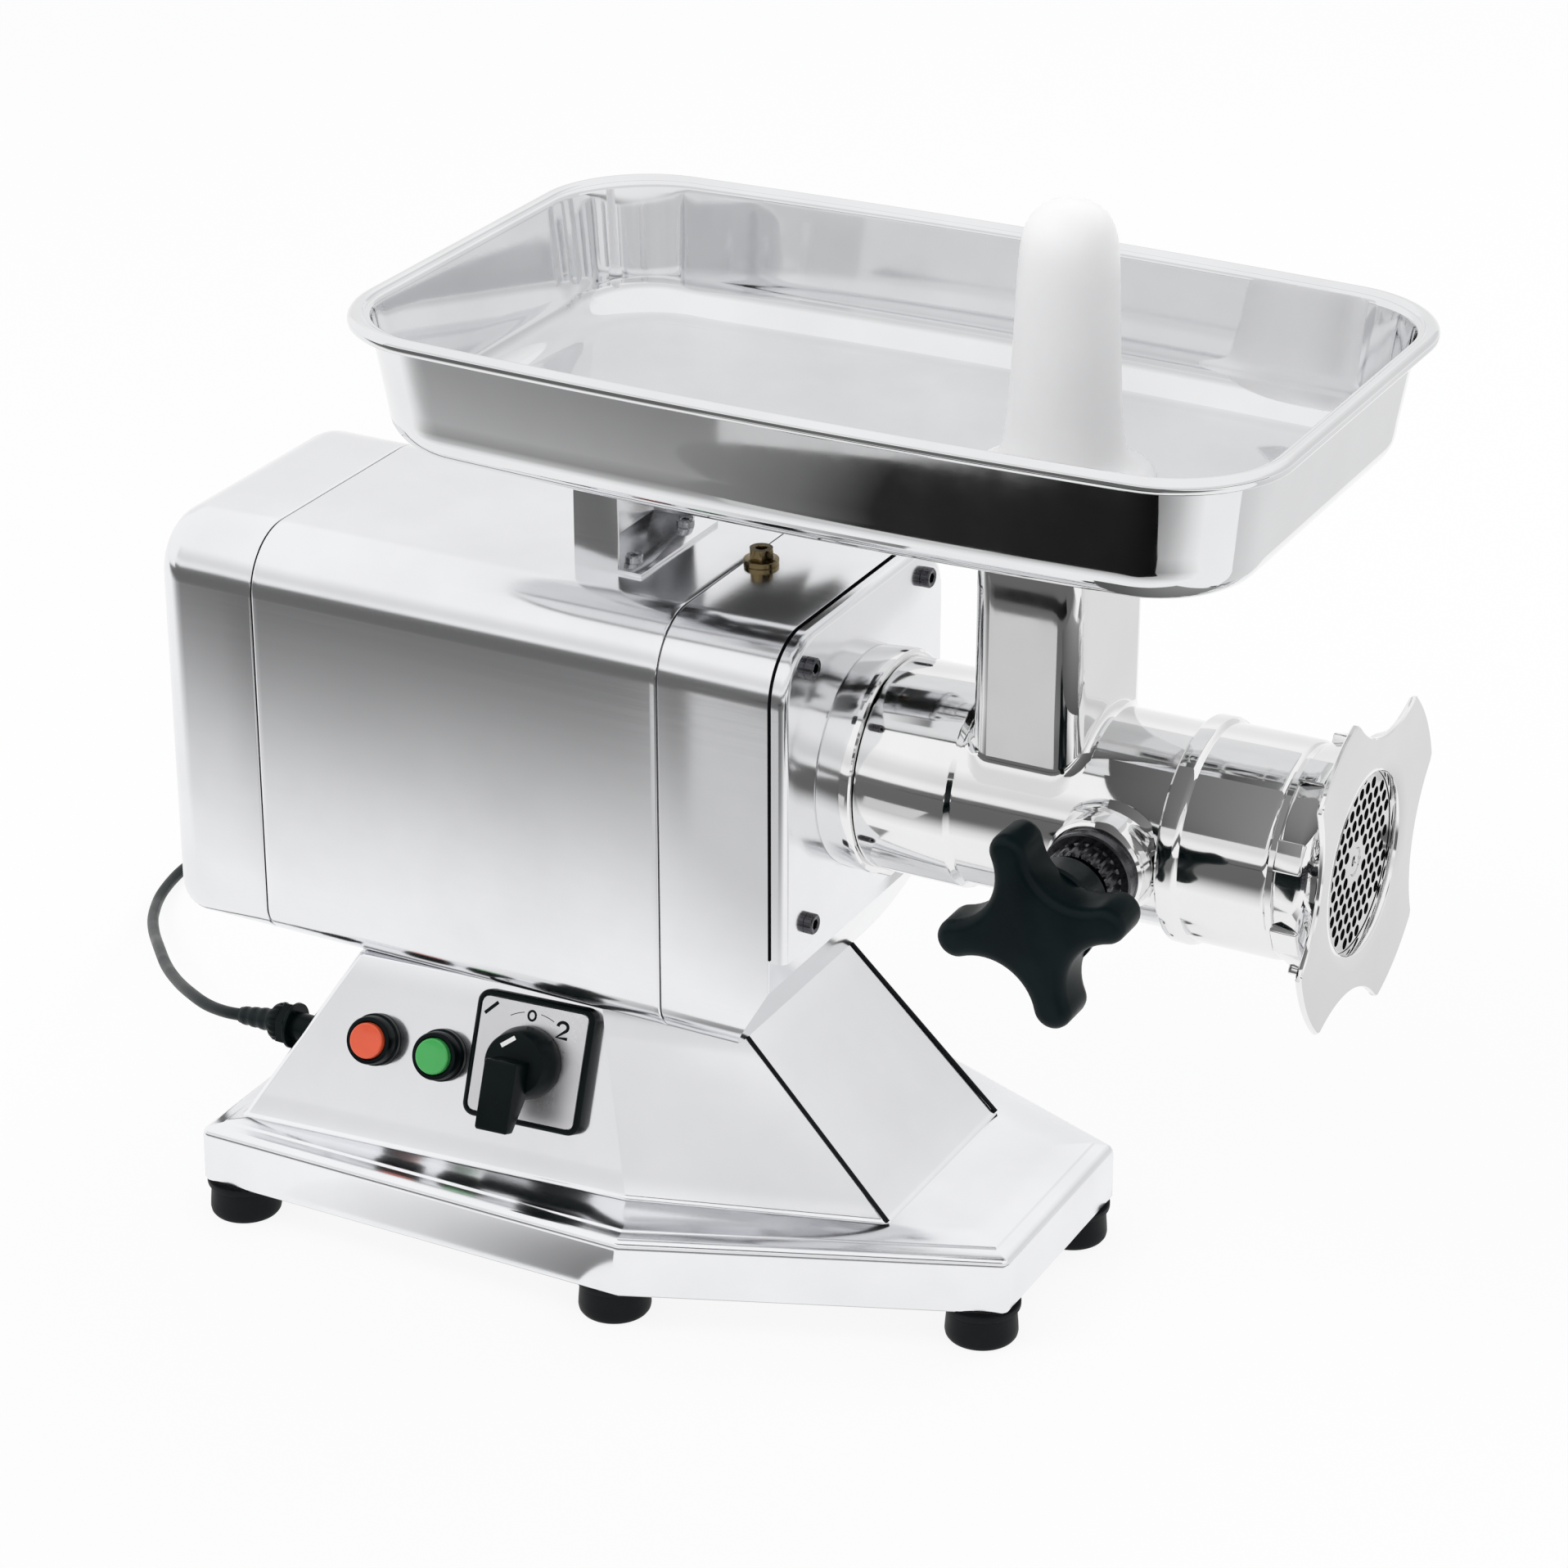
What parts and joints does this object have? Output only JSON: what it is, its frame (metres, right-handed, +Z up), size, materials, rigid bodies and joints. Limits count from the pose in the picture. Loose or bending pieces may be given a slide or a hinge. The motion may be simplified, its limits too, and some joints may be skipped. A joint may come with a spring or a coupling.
{
  "type": "electric meat grinder",
  "caption": "bench-top electric meat grinder: geared motor housing on a folded sheet stand, worm head with ring nut, feed tray, pusher, push buttons and rotary switch",
  "frame": {"origin": "centre of the bounding box at floor level, cord left out", "axes": "+X towards the outlet, +Y away from the control panel, +Z up"},
  "size_m": [0.877, 0.5985, 0.618],
  "materials": {
    "steel": "satin stainless",
    "polished": "mirror polished stainless",
    "rubber": "matt black rubber",
    "black_rubber": "black cable rubber",
    "brass": "turned brass",
    "copper": "enamelled copper wire",
    "laminations": "varnished laminations",
    "aluminium": "cast",
    "black_plastic": "black moulded plastic",
    "black_metal": "blackened, knurled",
    "white_plastic": "white food-grade plastic",
    "red_plastic": "red-orange",
    "green_plastic": "green",
    "grey_plastic": "grey moulded plastic",
    "silver_face": "light silver dial face"
  },
  "bodies": {
    "base": {"base_tray": "steel", "bottom_cover": "steel", "feet": "rubber", "foot_bolts": "steel", "pedestal": "steel", "pedestal_screws": "steel", "housing_sleeve": "steel", "rear_cap": "steel", "cap_screws": "steel", "front_casing": "steel", "front_plate": "steel", "plate_screws": "steel", "oil_plug": "brass", "neck_flange": "steel", "head_body": "steel", "thrust_washer": "brass", "grinder_plate": "steel", "tray_bracket": "steel", "bracket_screws": "steel", "stop_bezel": "black_plastic", "start_bezel": "black_plastic", "contact_blocks": "grey_plastic", "switch_frame": "black_plastic", "switch_face": "silver_face", "switch_body": "grey_plastic", "cord_gland": "black_plastic", "strain_relief": "black_rubber", "power_cord": "black_rubber", "cord_coil": "black_rubber", "power_plug": "black_rubber", "plug_pins": "steel", "motor_stator": "laminations", "motor_windings": "copper", "motor_shields": "aluminium", "motor_bearings": "steel", "gearbox_case": "aluminium", "gear_bearings": "steel", "oil_seal": "black_rubber", "capacitor": "white_plastic"},
    "drive": {"worm": "steel", "worm_pin": "steel", "knife": "steel", "drive_shaft": "steel", "drive_gear": "steel"},
    "mid": {"mid_shaft": "steel", "mid_gear": "steel", "mid_pinion": "steel"},
    "motor": {"motor_rotor": "steel", "motor_shaft": "steel", "motor_pinion": "steel", "cooling_fan": "black_plastic"},
    "nut": {"ring_nut": "steel"},
    "lock": {"lock_stud": "steel", "lock_collar": "black_metal", "lock_knob": "black_plastic"},
    "tray_body": {"tray": "polished"},
    "pusher_body": {"pusher": "white_plastic"},
    "stop": {"stop_button": "red_plastic"},
    "start": {"start_button": "green_plastic"},
    "switch": {"switch_handle": "black_plastic"}
  },
  "joints": [
    {"name": "drive_spin", "type": "hinge", "parent": "base", "child": "drive", "pos_m": [0.1, 0, 0.2965], "axis": [1, 0, 0], "continuous": true},
    {"name": "mid_spin", "type": "hinge", "parent": "base", "child": "mid", "pos_m": [0, 0, 0.22525], "axis": [1, 0, 0], "continuous": true},
    {"name": "motor_spin", "type": "hinge", "parent": "base", "child": "motor", "pos_m": [-0.2, 0, 0.28725], "axis": [1, 0, 0], "continuous": true},
    {"name": "nut_turn", "type": "hinge", "parent": "base", "child": "nut", "pos_m": [0.29, 0, 0.2965], "axis": [1, 0, 0], "range_deg": [0, 720]},
    {"name": "lock_turn", "type": "hinge", "parent": "base", "child": "lock", "pos_m": [0.216, -0.1, 0.2965], "axis": [0, -1, 0], "range_deg": [0, 540]},
    {"name": "tray_lift", "type": "slide", "parent": "base", "child": "tray_body", "axis": [0, 0, 1], "range_m": [0, 0.12]},
    {"name": "pusher_lift", "type": "slide", "parent": "tray_body", "child": "pusher_body", "axis": [0, 0, 1], "range_m": [0, 0.28]},
    {"name": "stop_press", "type": "slide", "parent": "base", "child": "stop", "axis": [-0.0754, 0.9158, -0.3944], "range_m": [0, 0.004], "stiffness_N_per_m": 800, "springref_m": -0.003},
    {"name": "start_press", "type": "slide", "parent": "base", "child": "start", "axis": [-0.0754, 0.9158, -0.3944], "range_m": [0, 0.004], "stiffness_N_per_m": 800, "springref_m": -0.003},
    {"name": "switch_turn", "type": "hinge", "parent": "base", "child": "switch", "pos_m": [-0.10161, -0.09065, 0.1163], "axis": [0.0754, -0.9158, 0.3944], "range_deg": [-90, 0]}
  ],
  "couplings": [
    {"joint": "mid_spin", "follows": "drive_spin", "ratio": -2.8},
    {"joint": "motor_spin", "follows": "drive_spin", "ratio": 9.6}
  ]
}
